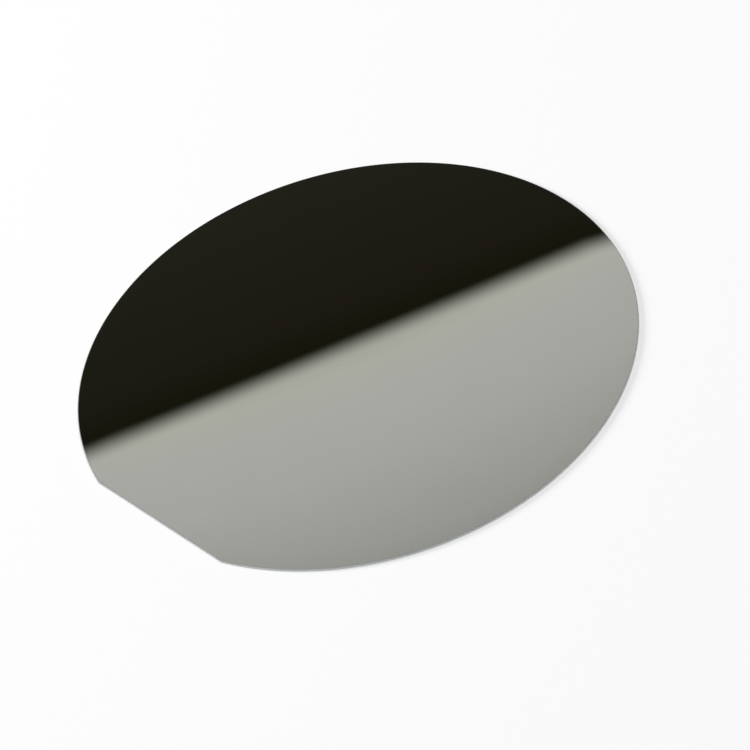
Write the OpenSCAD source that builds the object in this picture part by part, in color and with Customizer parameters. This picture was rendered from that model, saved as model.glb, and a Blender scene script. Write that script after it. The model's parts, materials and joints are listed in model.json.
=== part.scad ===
// Round silicon optical window with one flat ground on its rim.
// The window lies on its back face at z = 0, and the z axis runs through the middle of the
// disc. The front face looks along +Z, and the flat looks along -Y.

/* [Disc] */
// Diameter across the round part of the rim
disc_d = 100; // [90:0.5:110]
// Thickness from the back face to the front face
disc_t = 0.525; // [0.5:0.025:5]

/* [Flat] */
// Length of the flat, up to the points where its line meets the rim's circle
flat_l = 32.5; // [28:0.5:38]
// Radius of the arc that blends each end of the flat into the rim
corner_r = 1.5; // [1:0.1:2]

/* [Ground edge] */
// Radius that rounds off the edge of each face, all the way round
edge_r = 0.15; // [0.1:0.01:0.2]

/* [Hidden] */
$fn = 180;
rim_r = disc_d / 2;
// Distance from the axis to the flat
flat_y = sqrt(pow(rim_r, 2) - pow(flat_l / 2, 2));
// How far the slab that is cut to the flat stands clear of the disc on its other three sides,
// and a cutter of the disc above its front face and below its back face
margin = 5;
// Angle at which the corner arc crosses the rim and the flat. It is small enough to look
// tangent, and large enough for the three to meet in clean edges.
corner_cross = asin(flat_l / disc_d) / 6;
// Distance of the corner arc's middle from the rim and from the line of the flat
corner_inset = corner_r * cos(corner_cross);
corner_y = flat_y - corner_inset;
corner_x = sqrt(pow(rim_r - corner_inset, 2) - pow(corner_y, 2));

// Section through the ground edge. It is as thick as the disc, starts at x = 0 and ends at
// x = reach, where an arc leads from each face to the narrow straight land between them.
module edge_section(reach) {
    square([reach - edge_r, disc_t]);
    translate([reach - 2 * edge_r, edge_r])
        square([2 * edge_r, disc_t - 2 * edge_r]);
    for (z = [edge_r, disc_t - edge_r])
        translate([reach - edge_r, z])
            circle(edge_r);
}

// A full disc with its edge ground all round
module round_disc(radius) {
    rotate_extrude()
        edge_section(radius);
}

// A slab that takes in the whole disc apart from what the flat removes. Its -Y side is the flat,
// with the same ground edge as the rim.
module flat_slab() {
    slab_l = disc_d + 2 * margin;
    slab_w = disc_d + margin;
    translate([slab_l / 2, slab_w - flat_y, 0])
        rotate([90, 0, -90])
            linear_extrude(slab_l)
                edge_section(slab_w);
}

// What the arc takes off the corner at the +X end of the flat. It is a wedge that opens from
// the arc's middle towards the flat on one side and the rim on the other, less a disc as
// round as the arc.
module corner_waste() {
    to_flat = [0, -1];
    to_rim = [corner_x, -corner_y] / norm([corner_x, corner_y]);
    translate([corner_x, -corner_y, 0])
        difference() {
            translate([0, 0, -margin])
                linear_extrude(disc_t + 2 * margin)
                    polygon(2 * corner_r * [[0, 0], to_flat, to_flat + to_rim, to_rim]);
            round_disc(corner_r);
        }
}

module window() {
    color("dimgray")
        difference() {
            intersection() {
                round_disc(rim_r);
                flat_slab();
            }
            corner_waste();
            mirror([1, 0, 0])
                corner_waste();
        }
}

window();
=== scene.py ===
import json
import math

import bmesh
import bpy
from mathutils import Matrix, Vector


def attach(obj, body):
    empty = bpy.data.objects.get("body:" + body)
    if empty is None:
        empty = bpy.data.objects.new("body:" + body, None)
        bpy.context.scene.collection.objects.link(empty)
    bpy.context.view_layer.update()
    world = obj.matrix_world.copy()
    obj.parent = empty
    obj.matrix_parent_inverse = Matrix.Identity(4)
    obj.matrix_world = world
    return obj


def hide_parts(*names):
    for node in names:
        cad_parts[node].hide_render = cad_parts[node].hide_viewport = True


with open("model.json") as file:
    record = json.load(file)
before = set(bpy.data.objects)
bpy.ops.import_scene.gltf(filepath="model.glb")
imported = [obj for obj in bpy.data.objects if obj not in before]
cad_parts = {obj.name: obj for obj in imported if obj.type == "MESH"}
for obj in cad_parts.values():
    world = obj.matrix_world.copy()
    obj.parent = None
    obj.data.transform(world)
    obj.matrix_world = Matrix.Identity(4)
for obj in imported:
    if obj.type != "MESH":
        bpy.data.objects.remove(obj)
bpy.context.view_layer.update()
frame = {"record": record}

# ---------------------------------------------------------------- sizes, in metres
MM = 0.001
MOUNTS = {mount["name"]: mount for mount in frame["record"]["mounts"]}
RIM_R = MOUNTS["rim"]["dims"]["r_mm"] * MM
LAND = MOUNTS["rim"]["dims"]["length_mm"] * MM       # height of the ground edge's straight part
THICKNESS = MOUNTS["front_face"]["pos_m"][2]
FLAT_DISTANCE = -MOUNTS["primary_flat"]["pos_m"][1]  # the flat is this far from the axis
EDGE_R = (THICKNESS - LAND) / 2                      # rounds the land into each face
CORNER_R = 1.5 * MM                                  # rounds each end of the flat into the rim

# ---------------------------------------------------------------- camera
PHOTO_PX = 750
SENSOR_MM = 36
LENS_MM = 330.5
FOCAL_PX = LENS_MM * PHOTO_PX / SENSOR_MM
AZIMUTH_DEG = 58.5
ELEVATION_DEG = 42.8
ROLL = math.radians(-16.6)
DISTANCE = 1.2
ORIGIN_PX = (357.05, 362.2)  # where the middle of the back face is seen


def towards(azimuth_deg, elevation_deg):
    """The direction from the window to a place round it. Azimuth 0 is the flat's side."""
    azimuth = math.radians(azimuth_deg)
    elevation = math.radians(elevation_deg)
    return Vector((
        math.sin(azimuth) * math.cos(elevation),
        -math.cos(azimuth) * math.cos(elevation),
        math.sin(elevation),
    ))


def image_plane(pixel):
    """A pixel's place beside and above the middle of the picture, at a distance of 1."""
    return (pixel[0] - PHOTO_PX / 2) / FOCAL_PX, (PHOTO_PX / 2 - pixel[1]) / FOCAL_PX


TO_CAMERA = towards(AZIMUTH_DEG, ELEVATION_DEG)
LEVEL_RIGHT = towards(AZIMUTH_DEG + 90, 0)  # right and away as the camera sees them, both level
LEVEL_AWAY = -towards(AZIMUTH_DEG, 0)
RIGHT = LEVEL_RIGHT * math.cos(ROLL) + TO_CAMERA.cross(LEVEL_RIGHT) * math.sin(ROLL)
UP = TO_CAMERA.cross(RIGHT)
ORIGIN_X, ORIGIN_Y = image_plane(ORIGIN_PX)
CAMERA_AT = (TO_CAMERA - RIGHT * ORIGIN_X - UP * ORIGIN_Y) * DISTANCE


def add_object(name, data):
    made = bpy.data.objects.new(name, data)
    bpy.context.scene.collection.objects.link(made)
    return made


def make_camera():
    data = bpy.data.cameras.new("camera")
    data.lens = LENS_MM
    data.sensor_width = SENSOR_MM
    camera = add_object("camera", data)
    axes = Matrix((RIGHT, UP, TO_CAMERA)).transposed()
    camera.matrix_world = Matrix.Translation(CAMERA_AT) @ axes.to_4x4()
    bpy.context.scene.camera = camera


# ---------------------------------------------------------------- node helpers
class Nodes:
    """A short way to write a node tree: add() makes a node, sets its inputs and links them."""

    def __init__(self, owner):
        owner.use_nodes = True
        self.tree = owner.node_tree
        self.tree.nodes.clear()

    def add(self, kind, inputs=None, **settings):
        node = self.tree.nodes.new(kind)
        for name, value in settings.items():
            setattr(node, name, value)
        for name, value in (inputs or {}).items():
            if isinstance(value, bpy.types.NodeSocket):
                self.tree.links.new(value, node.inputs[name])
            else:
                node.inputs[name].default_value = value
        return node

    def finish(self, shader):
        self.add("ShaderNodeOutputMaterial", {"Surface": shader.outputs[0]})

    def place(self):
        """Where a point of the surface lies in its object, in metres."""
        return self.add("ShaderNodeTexCoord").outputs["Object"]

    def maths(self, operation, *values):
        return self.add("ShaderNodeMath", dict(enumerate(values)), operation=operation).outputs[0]

    def average(self, first, second):
        return self.maths("MULTIPLY", self.maths("ADD", first, second), 0.5)

    def vector(self, operation, *values):
        """A vector operation. Its result is the output Vector, or Value where it is one number."""
        return self.add("ShaderNodeVectorMath", dict(enumerate(values)), operation=operation).outputs

    def remap(self, value, start, end, low=0.0, high=1.0, kind="LINEAR"):
        """Takes start to low and end to high, and holds them beyond."""
        node = self.add("ShaderNodeMapRange", {
            "Value": value, "From Min": start, "From Max": end, "To Min": low, "To Max": high,
        }, interpolation_type=kind)
        return node.outputs["Result"]

    def ramp(self, value, stops, interpolation="LINEAR"):
        """Colours at given values, blended between them."""
        start = stops[0][0]
        end = stops[-1][0]
        node = self.add("ShaderNodeValToRGB", {"Fac": self.remap(value, start, end)})
        ramp = node.color_ramp
        ramp.interpolation = interpolation
        while len(ramp.elements) < len(stops):
            ramp.elements.new(0.5)
        for element, (at, colour) in zip(ramp.elements, stops):
            element.position = (at - start) / (end - start)
            element.color = (*colour, 1)
        return node.outputs["Color"]

    def mix(self, factor, first, second):
        """Blends two colours. The sockets are numbered because each kind of value repeats their names."""
        node = self.add("ShaderNodeMix", {0: factor, 6: first, 7: second}, data_type="RGBA")
        return node.outputs[2]

    def noise(self, place, scale, detail):
        node = self.add("ShaderNodeTexNoise", {"Vector": place, "Scale": scale, "Detail": detail})
        return node.outputs["Fac"]

    def bump(self, height, strength, distance):
        node = self.add("ShaderNodeBump", {"Height": height, "Strength": strength, "Distance": distance})
        return node.outputs["Normal"]


def material(name):
    made = bpy.data.materials.new(name)
    return made, Nodes(made)


def grey(level):
    return (level, level, level)


# ---------------------------------------------------------------- materials of the window
ROLL_OFF_WIDTH = 4.0 * MM
ROLL_OFF_DROP = 0.01 * MM

HAZE_SCALE = 90.0
HAZE_LOW = 0.3          # noise between these two takes a face from dark to light
HAZE_HIGH = 0.7
FACE_DARK = (0.395, 0.400, 0.365)
FACE_LIGHT = (0.401, 0.406, 0.371)
FACE_SMOOTH = 0.006     # the least and the most roughness
FACE_ROUGH = 0.018

LINE_SCALE = 900.0
LINE_STRETCH = 40       # how much longer than broad the ground edge's lines are
GRAIN_SCALE = 24000.0
PATCH_SCALE = 350.0
GRAIN_STRENGTH = 0.4
GRAIN_DEPTH = 0.003 * MM
MOTTLE_LOW = 0.38       # and between these two it does so for the ground edge
MOTTLE_HIGH = 0.62
GROUND_DARK = (0.485, 0.515, 0.507)
GROUND_LIGHT = (0.57, 0.605, 0.595)
GROUND_METALLIC = 0.8
GROUND_SMOOTH = 0.38    # the least and the most roughness
GROUND_ROUGH = 0.52


def roll_off(nodes, place):
    """Polishing lets a face fall away a little next to its edge, which bends what it mirrors there."""
    flattened = nodes.vector("MULTIPLY", place, (1, 1, 0))["Vector"]
    from_rim = nodes.maths("SUBTRACT", RIM_R, nodes.vector("LENGTH", flattened)["Value"])
    y = nodes.add("ShaderNodeSeparateXYZ", {0: place}).outputs["Y"]
    from_flat = nodes.maths("ADD", y, FLAT_DISTANCE)
    nearest = nodes.maths("MINIMUM", from_rim, from_flat)
    near_edge = nodes.remap(nearest, 0.0, ROLL_OFF_WIDTH, 1.0, 0.0)
    height = nodes.maths("MULTIPLY", nodes.maths("MULTIPLY", near_edge, near_edge), -1.0)
    return nodes.bump(height, strength=1.0, distance=ROLL_OFF_DROP)


def polished_silicon():
    """Both faces: a mirror that reflects about 0.4 of the light, with the faintest haze."""
    made, nodes = material("polished_silicon")
    place = nodes.place()
    haze = nodes.noise(place, HAZE_SCALE, detail=4.0)
    surface = nodes.add("ShaderNodeBsdfPrincipled", {
        "Base Color": nodes.ramp(haze, [(HAZE_LOW, FACE_DARK), (HAZE_HIGH, FACE_LIGHT)]),
        "Metallic": 1.0,
        "Roughness": nodes.remap(haze, HAZE_LOW, HAZE_HIGH, FACE_SMOOTH, FACE_ROUGH),
        "Normal": roll_off(nodes, place),
    })
    nodes.finish(surface)
    return made


def ground_silicon():
    """The rounded edge: finely ground, so matt, with a fine grain and faint lines along it."""
    made, nodes = material("ground_silicon")
    place = nodes.place()
    squeezed = nodes.vector("MULTIPLY", place, (1, 1, LINE_STRETCH))["Vector"]
    lines = nodes.noise(squeezed, LINE_SCALE, detail=2.0)
    grain = nodes.noise(place, GRAIN_SCALE, detail=2.0)
    patches = nodes.noise(place, PATCH_SCALE, detail=3.0)
    texture = nodes.average(grain, lines)
    mottle = nodes.average(texture, patches)
    surface = nodes.add("ShaderNodeBsdfPrincipled", {
        "Base Color": nodes.ramp(mottle, [(MOTTLE_LOW, GROUND_DARK), (MOTTLE_HIGH, GROUND_LIGHT)]),
        "Metallic": GROUND_METALLIC,
        "Roughness": nodes.remap(mottle, MOTTLE_LOW, MOTTLE_HIGH, GROUND_SMOOTH, GROUND_ROUGH),
        "Normal": nodes.bump(texture, GRAIN_STRENGTH, GRAIN_DEPTH),
    })
    nodes.finish(surface)
    return made


# ---------------------------------------------------------------- the window's mesh
RIM_STEPS = 680
CORNER_STEPS = 10
FLAT_STEPS = 72
EDGE_ARC_STEPS = 8
FACE_RINGS = (0.35, 0.65, 0.88, 0.98)  # each face's own rings, as shares of its outline's size
FACE_SLOT = 0
EDGE_SLOT = 1
FULL_TURN = 2 * math.pi
QUARTER_TURN = math.pi / 2


def plan_outline():
    """Points along the outline seen from above, anticlockwise, each with its outward normal."""
    corner_y = FLAT_DISTANCE - CORNER_R
    corner_x = math.sqrt((RIM_R - CORNER_R) ** 2 - corner_y ** 2)
    corner_angle = math.atan2(corner_x, corner_y)
    arcs = (  # each one's centre, radius, first and last angle, and steps
        (corner_x, -corner_y, CORNER_R, 0, corner_angle, CORNER_STEPS),
        (0, 0, RIM_R, corner_angle, FULL_TURN - corner_angle, RIM_STEPS),
        (-corner_x, -corner_y, CORNER_R, FULL_TURN - corner_angle, FULL_TURN, CORNER_STEPS),
    )
    points = []
    for centre_x, centre_y, radius, start, end, steps in arcs:
        for step in range(steps):
            angle = start + (end - start) * step / steps  # turned from the flat's normal
            normal = Vector((math.sin(angle), -math.cos(angle), 0))
            points.append((Vector((centre_x, centre_y, 0)) + normal * radius, normal))
    for step in range(FLAT_STEPS):
        x = -corner_x + 2 * corner_x * step / FLAT_STEPS
        points.append((Vector((x, -FLAT_DISTANCE, 0)), Vector((0, -1, 0))))
    return points


def profile():
    """Places across the disc, from the back face round the ground edge to the front face. Each
    has its inset from the outline, its scale about the axis, its height and its normal's tilt."""
    places = [(EDGE_R, scale, 0, -QUARTER_TURN) for scale in FACE_RINGS]
    for centre_z, start in ((EDGE_R, -QUARTER_TURN), (THICKNESS - EDGE_R, 0)):
        for step in range(EDGE_ARC_STEPS + 1):
            tilt = start + QUARTER_TURN * step / EDGE_ARC_STEPS
            places.append((EDGE_R * (1 - math.cos(tilt)), 1, centre_z + EDGE_R * math.sin(tilt), tilt))
    places += [(EDGE_R, scale, THICKNESS, QUARTER_TURN) for scale in reversed(FACE_RINGS)]
    return places


def add_rings(shape):
    """A ring of vertices at each place of the profile. Also gives the vertices' normals, in order."""
    outline = plan_outline()
    rings = []
    normals = []
    for inset, scale, height, tilt in profile():
        ring = []
        for point, normal in outline:
            ring.append(shape.verts.new((point - normal * inset) * scale + Vector((0, 0, height))))
            normals.append(normal * math.cos(tilt) + Vector((0, 0, math.sin(tilt))))
        rings.append(ring)
    return rings, normals


def add_faces(shape, rings, back_middle, front_middle):
    """Strips between the rings, and a fan in the middle of the back and of the front."""
    edge_strips = range(len(FACE_RINGS), len(rings) - 1 - len(FACE_RINGS))
    around = len(rings[0])
    for i in range(around):
        j = (i + 1) % around
        shape.faces.new((back_middle, rings[0][j], rings[0][i]))
        shape.faces.new((front_middle, rings[-1][i], rings[-1][j]))
        for strip, (lower, upper) in enumerate(zip(rings, rings[1:])):
            face = shape.faces.new((lower[i], lower[j], upper[j], upper[i]))
            face.material_index = EDGE_SLOT if strip in edge_strips else FACE_SLOT
    for face in shape.faces:
        face.smooth = True


def make_window():
    """The disc: its profile swept along the outline, and closed in the middle of both faces."""
    shape = bmesh.new()
    rings, normals = add_rings(shape)
    back_middle = shape.verts.new((0, 0, 0))
    front_middle = shape.verts.new((0, 0, THICKNESS))
    normals += [Vector((0, 0, -1)), Vector((0, 0, 1))]
    add_faces(shape, rings, back_middle, front_middle)
    mesh = bpy.data.meshes.new("window_disc")
    shape.to_mesh(mesh)
    shape.free()
    mesh.materials.append(polished_silicon())
    mesh.materials.append(ground_silicon())
    mesh.normals_split_custom_set_from_vertices(normals)
    return add_object("window_disc", mesh)


# ---------------------------------------------------------------- studio
WHITE = (1, 1, 1, 1)
AMBIENT = 0.25        # the even light on the object
FLOOR_PAINT = (0.95, 0.95, 0.95, 1)
FLOOR_HALF = 6.0
FLOOR_Z = -0.01 * MM  # just under the back face
FLOOR_GLOW = 0.35     # how much of the floor's white is its own where it is seen as background
GLOW_FROM = 0.25      # from this far off that share grows,
GLOW_FULL = 1.0       # until it is the whole, past the lamps' reach
SQUARE = ((-1, -1), (1, -1), (1, 1), (-1, 1))


def seen_as_background(nodes):
    """1 for the rays that show the background: those from the camera, and mirrored ones."""
    path = nodes.add("ShaderNodeLightPath").outputs
    mirrored = nodes.maths("MAXIMUM", path["Is Glossy Ray"], path["Is Transmission Ray"])
    return nodes.maths("MAXIMUM", path["Is Camera Ray"], mirrored)


def make_world():
    """White where it is seen, and a dimmer even light on the object."""
    world = bpy.data.worlds.new("studio")
    bpy.context.scene.world = world
    nodes = Nodes(world)
    strength = nodes.remap(seen_as_background(nodes), 0.0, 1.0, AMBIENT, 1.0)
    sky = nodes.add("ShaderNodeBackground", {"Color": WHITE, "Strength": strength})
    nodes.add("ShaderNodeOutputWorld", {"Surface": sky.outputs["Background"]})


def stage_mesh(name, points, faces, materials):
    mesh = bpy.data.meshes.new(name)
    mesh.from_pydata(points, [], faces)
    for made in materials:
        mesh.materials.append(made)
    piece = add_object(name, mesh)
    return piece


def make_floor():
    """A matt floor that is seen as white but still takes the window's shadow."""
    made, nodes = material("white_floor")
    paint = nodes.add("ShaderNodeBsdfDiffuse", {"Color": FLOOR_PAINT})
    glow = nodes.add("ShaderNodeEmission", {"Color": WHITE, "Strength": 1.0})
    distance = nodes.vector("LENGTH", nodes.place())["Value"]
    own = nodes.remap(distance, GLOW_FROM, GLOW_FULL, FLOOR_GLOW, 1.0, "SMOOTHSTEP")
    share = nodes.maths("MULTIPLY", seen_as_background(nodes), own)
    nodes.finish(nodes.add("ShaderNodeMixShader", {0: share, 1: paint.outputs[0], 2: glow.outputs[0]}))
    points = [(x * FLOOR_HALF, y * FLOOR_HALF, FLOOR_Z) for x, y in SQUARE]
    stage_mesh("floor", points, [(0, 1, 2, 3)], [made])


def soft_lamp(name, azimuth_deg, elevation_deg, distance, size, level):
    """A square soft lamp aimed at the window. A white surface that faces it shows this level."""
    data = bpy.data.lights.new(name, "AREA")
    data.size = size
    data.energy = level * (math.pi * distance) ** 2
    lamp = add_object(name, data)
    direction = towards(azimuth_deg, elevation_deg)
    lamp.location = direction * distance
    lamp.rotation_mode = "QUATERNION"
    lamp.rotation_quaternion = direction.to_track_quat("Z", "Y")
    lamp.visible_glossy = False


# ---------------------------------------------------------------- what the polished face mirrors
# A box of cards stands round the window, and only mirrored rays see it. Its walls are dark up to
# an edge and light above it. The edge is low all round, but high behind the window, where the
# camera sees it mirrored across the front face.
CARD_HALF = 0.2
CARD_TOP = 0.6
HIGH_LEFT_PX = (112.1, 444.3)  # two points on the mirrored high edge
HIGH_RIGHT_PX = (592.0, 245.5)
HIGH_HALF = 0.065              # the high edge's half length
SHOULDER = 0.065               # width over which it comes down to the low edge
LOW_MIDDLE = 0.072             # the low edge's height beside the window
LOW_RISE = 0.14                # and how much it rises for each metre towards the back
EDGE_SOFT = 0.0032             # the edge's half width in the middle
SOFT_BOW = 0.15                # how strongly that width grows beside the middle, per metre
LIGHT_BOW = 1.8                # how strongly the light bends downwards there, per metre
LEFT_LIGHT_FROM = 0.07         # how far to the left the light starts that shows the flat's edge

# The walls' colours below and above the edge, at heights that count from it
DARK_STOPS = (
    (-0.16, (0.150, 0.150, 0.140)),
    (-0.06, (0.040, 0.040, 0.028)),
    (-0.012, (0.0285, 0.0255, 0.0165)),
    (-0.003, (0.0195, 0.0185, 0.0095)),
)
LIGHT_STOPS = (
    (0.0, (0.87, 0.87, 0.83)),
    (0.0065, (1.0, 1.0, 0.955)),
    (0.015, grey(0.975)),
    (0.033, grey(0.922)),
    (0.06, grey(0.755)),
    (0.12, grey(0.4)),
    (0.2, grey(0.14)),
    (0.4, grey(0.1)),
)
LEFT_STOPS = ((0.08, grey(0.95)), (0.32, grey(0.3)))  # at heights above the floor

# The ceiling's shade changes in this direction: away from the camera, and partly to its right
CEILING_ACROSS = (LEVEL_RIGHT * 0.55 + LEVEL_AWAY * 0.83).normalized()
CEILING_STOPS = ((-0.2, grey(0.1)), (-0.03, grey(0.95)), (0.03, grey(0.1)), (0.2, grey(0.1)))


def mirrored_point(pixel):
    """Where the ray through a pixel meets the far card after the front face has mirrored it."""
    x, y = image_plane(pixel)
    ray = RIGHT * x + UP * y - TO_CAMERA
    on_face = CAMERA_AT + ray * ((THICKNESS - CAMERA_AT.z) / ray.z)
    ray.z = -ray.z
    return on_face + ray * ((CARD_HALF - on_face.dot(LEVEL_AWAY)) / ray.dot(LEVEL_AWAY))


def along(nodes, direction):
    """How far a point of the cards lies along a direction."""
    place = nodes.add("ShaderNodeNewGeometry").outputs["Position"]
    return nodes.vector("DOT_PRODUCT", place, direction)["Value"]


def finish_card(nodes, made, shade):
    """A card glows with its shade. It lights nothing, so it isn't sampled as a lamp."""
    nodes.finish(nodes.add("ShaderNodeEmission", {"Color": shade, "Strength": 1.0}))
    made.cycles.emission_sampling = "NONE"
    return made


def wall_edge(nodes, side):
    """The height of the walls' edge, and how fully it is the high one, from 0 to 1."""
    left = mirrored_point(HIGH_LEFT_PX)
    right = mirrored_point(HIGH_RIGHT_PX)
    slope = (right.z - left.z) / (right - left).dot(LEVEL_RIGHT)
    high = nodes.maths("MULTIPLY_ADD", side, slope, left.z - slope * left.dot(LEVEL_RIGHT))
    away = along(nodes, LEVEL_AWAY)
    low = nodes.maths("MULTIPLY_ADD", away, LOW_RISE, LOW_MIDDLE)
    beside = nodes.maths("ABSOLUTE", side)
    in_middle = nodes.remap(beside, HIGH_HALF, HIGH_HALF + SHOULDER, 1.0, 0.0, "SMOOTHSTEP")
    behind = nodes.remap(away, 0.0, CARD_HALF, kind="SMOOTHSTEP")
    raised = nodes.maths("MULTIPLY", in_middle, behind)
    lift = nodes.maths("MULTIPLY", raised, nodes.maths("SUBTRACT", high, low))
    return nodes.maths("ADD", low, lift), raised


def wall_card():
    made, nodes = material("wall_card")
    side = along(nodes, LEVEL_RIGHT)
    level = along(nodes, Vector((0, 0, 1)))
    edge, raised = wall_edge(nodes, side)
    height = nodes.maths("SUBTRACT", level, edge)
    bow = nodes.maths("MULTIPLY", raised, nodes.maths("MULTIPLY", side, side))
    dark = nodes.ramp(height, DARK_STOPS)
    light = nodes.ramp(nodes.maths("MULTIPLY_ADD", bow, LIGHT_BOW, height), LIGHT_STOPS)
    on_left = nodes.remap(side, -LEFT_LIGHT_FROM, -CARD_HALF, kind="SMOOTHSTEP")
    light = nodes.mix(on_left, light, nodes.ramp(level, LEFT_STOPS, "EASE"))
    soft = nodes.maths("MULTIPLY_ADD", bow, SOFT_BOW, EDGE_SOFT)
    soft_below = nodes.maths("MULTIPLY", soft, -1.0)
    over_edge = nodes.remap(height, soft_below, soft, kind="SMOOTHSTEP")
    return finish_card(nodes, made, nodes.mix(over_edge, dark, light))


def ceiling_card():
    """Bright just before the middle, fading slowly towards the camera and fast behind."""
    made, nodes = material("ceiling_card")
    shade = nodes.ramp(along(nodes, CEILING_ACROSS), CEILING_STOPS, "EASE")
    return finish_card(nodes, made, shade)


def make_cards():
    points = [
        (LEVEL_RIGHT * x + LEVEL_AWAY * y) * CARD_HALF + Vector((0, 0, z))
        for z in (0, CARD_TOP) for x, y in SQUARE
    ]
    walls = [(0, 1, 5, 4), (1, 2, 6, 5), (2, 3, 7, 6), (3, 0, 4, 7)]
    ceiling = (4, 5, 6, 7)
    cards = stage_mesh("cards", points, walls + [ceiling], [wall_card(), ceiling_card()])
    cards.data.polygons[len(walls)].material_index = 1  # the ceiling comes after the walls
    cards.visible_camera = False
    cards.visible_diffuse = False
    cards.visible_transmission = False
    cards.visible_volume_scatter = False
    cards.visible_shadow = False


# ---------------------------------------------------------------- the scene
bpy.context.scene.view_settings.view_transform = "Standard"
make_camera()
make_world()
make_floor()
soft_lamp("key", azimuth_deg=120, elevation_deg=70, distance=1.5, size=1.2, level=0.55)
soft_lamp("side", azimuth_deg=-60, elevation_deg=20, distance=1.2, size=0.4, level=1.0)
make_cards()

window = make_window()
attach(window, "root")
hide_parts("window")
